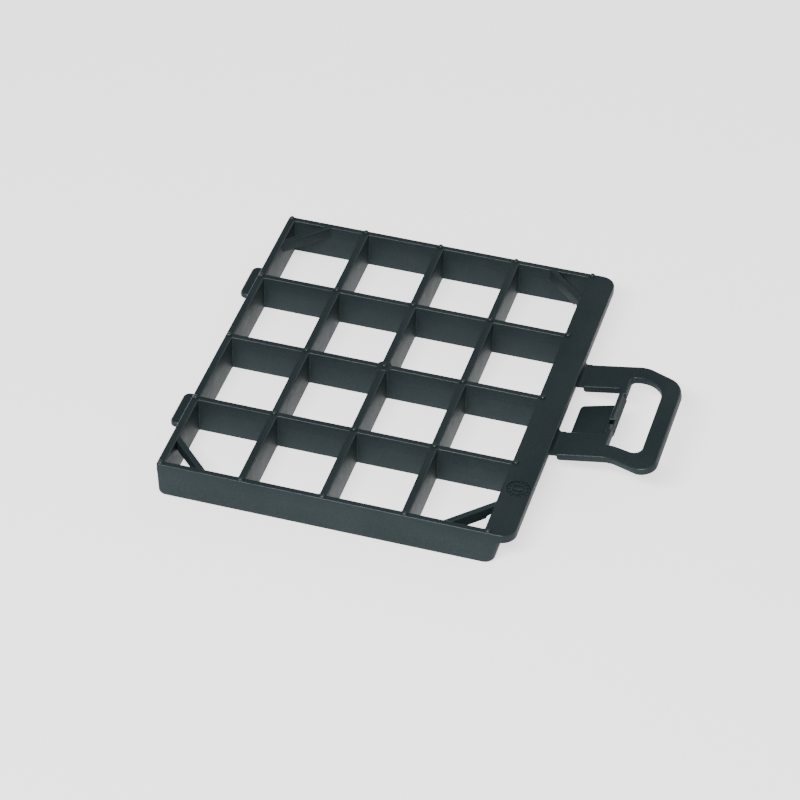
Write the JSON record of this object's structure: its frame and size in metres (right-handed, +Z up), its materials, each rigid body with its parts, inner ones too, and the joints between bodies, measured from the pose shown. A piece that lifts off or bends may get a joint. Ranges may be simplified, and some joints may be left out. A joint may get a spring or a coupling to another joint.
{
  "type": "filter retaining frame",
  "caption": "Open grille frame that holds a flat filter pad, with a flange, locating tabs and a folding film-hinged pull handle with a latch tongue.",
  "frame": {"origin": "centre of the four by four grille, on the plane of the bottom rim", "axes": "+X towards the flange and the handle, +Y towards the back wall, +Z up out of the frame's top rim"},
  "size_m": [0.158, 0.1372, 0.017],
  "materials": {
    "moulded_plastic": "fine matt grain"
  },
  "bodies": {
    "frame": {"front_wall": "moulded_plastic", "back_wall": "moulded_plastic", "left_wall": "moulded_plastic", "right_wall": "moulded_plastic", "flange": "moulded_plastic", "cross_rib_1": "moulded_plastic", "cross_rib_2": "moulded_plastic", "cross_rib_3": "moulded_plastic", "cell_rib_1_1": "moulded_plastic", "cell_rib_1_2": "moulded_plastic", "cell_rib_1_3": "moulded_plastic", "cell_rib_1_4": "moulded_plastic", "cell_rib_2_1": "moulded_plastic", "cell_rib_2_2": "moulded_plastic", "cell_rib_2_3": "moulded_plastic", "cell_rib_2_4": "moulded_plastic", "cell_rib_3_1": "moulded_plastic", "cell_rib_3_2": "moulded_plastic", "cell_rib_3_3": "moulded_plastic", "cell_rib_3_4": "moulded_plastic", "brace_front_left": "moulded_plastic", "brace_back_left": "moulded_plastic", "brace_front_right": "moulded_plastic", "brace_back_right": "moulded_plastic", "tab_front": "moulded_plastic", "tab_back": "moulded_plastic", "centre_boss": "moulded_plastic", "crossing_pips": "moulded_plastic", "dial_ring": "moulded_plastic", "dial_ticks": "moulded_plastic", "dial_arrow": "moulded_plastic", "film_root_front": "moulded_plastic", "film_root_back": "moulded_plastic"},
    "handle": {"film_lobe_front": "moulded_plastic", "film_lobe_back": "moulded_plastic", "arm_front": "moulded_plastic", "arm_back": "moulded_plastic", "crossbar": "moulded_plastic", "latch_lip": "moulded_plastic", "loop_front": "moulded_plastic", "loop_back": "moulded_plastic", "grip_bar": "moulded_plastic", "tongue_stub": "moulded_plastic"},
    "tongue": {"latch_tongue": "moulded_plastic"}
  },
  "joints": [
    {"name": "handle_fold", "type": "hinge", "parent": "frame", "child": "handle", "pos_m": [0.0634, 0, 0.01015], "axis": [0, -1, 0], "range_deg": [-24, 80], "stiffness_Nm_per_rad": 0.08},
    {"name": "tongue_flex", "type": "hinge", "parent": "handle", "child": "tongue", "pos_m": [0.07738, 0, 0.00839], "axis": [0, -1, 0], "range_deg": [-12, 6], "stiffness_Nm_per_rad": 0.5}
  ]
}
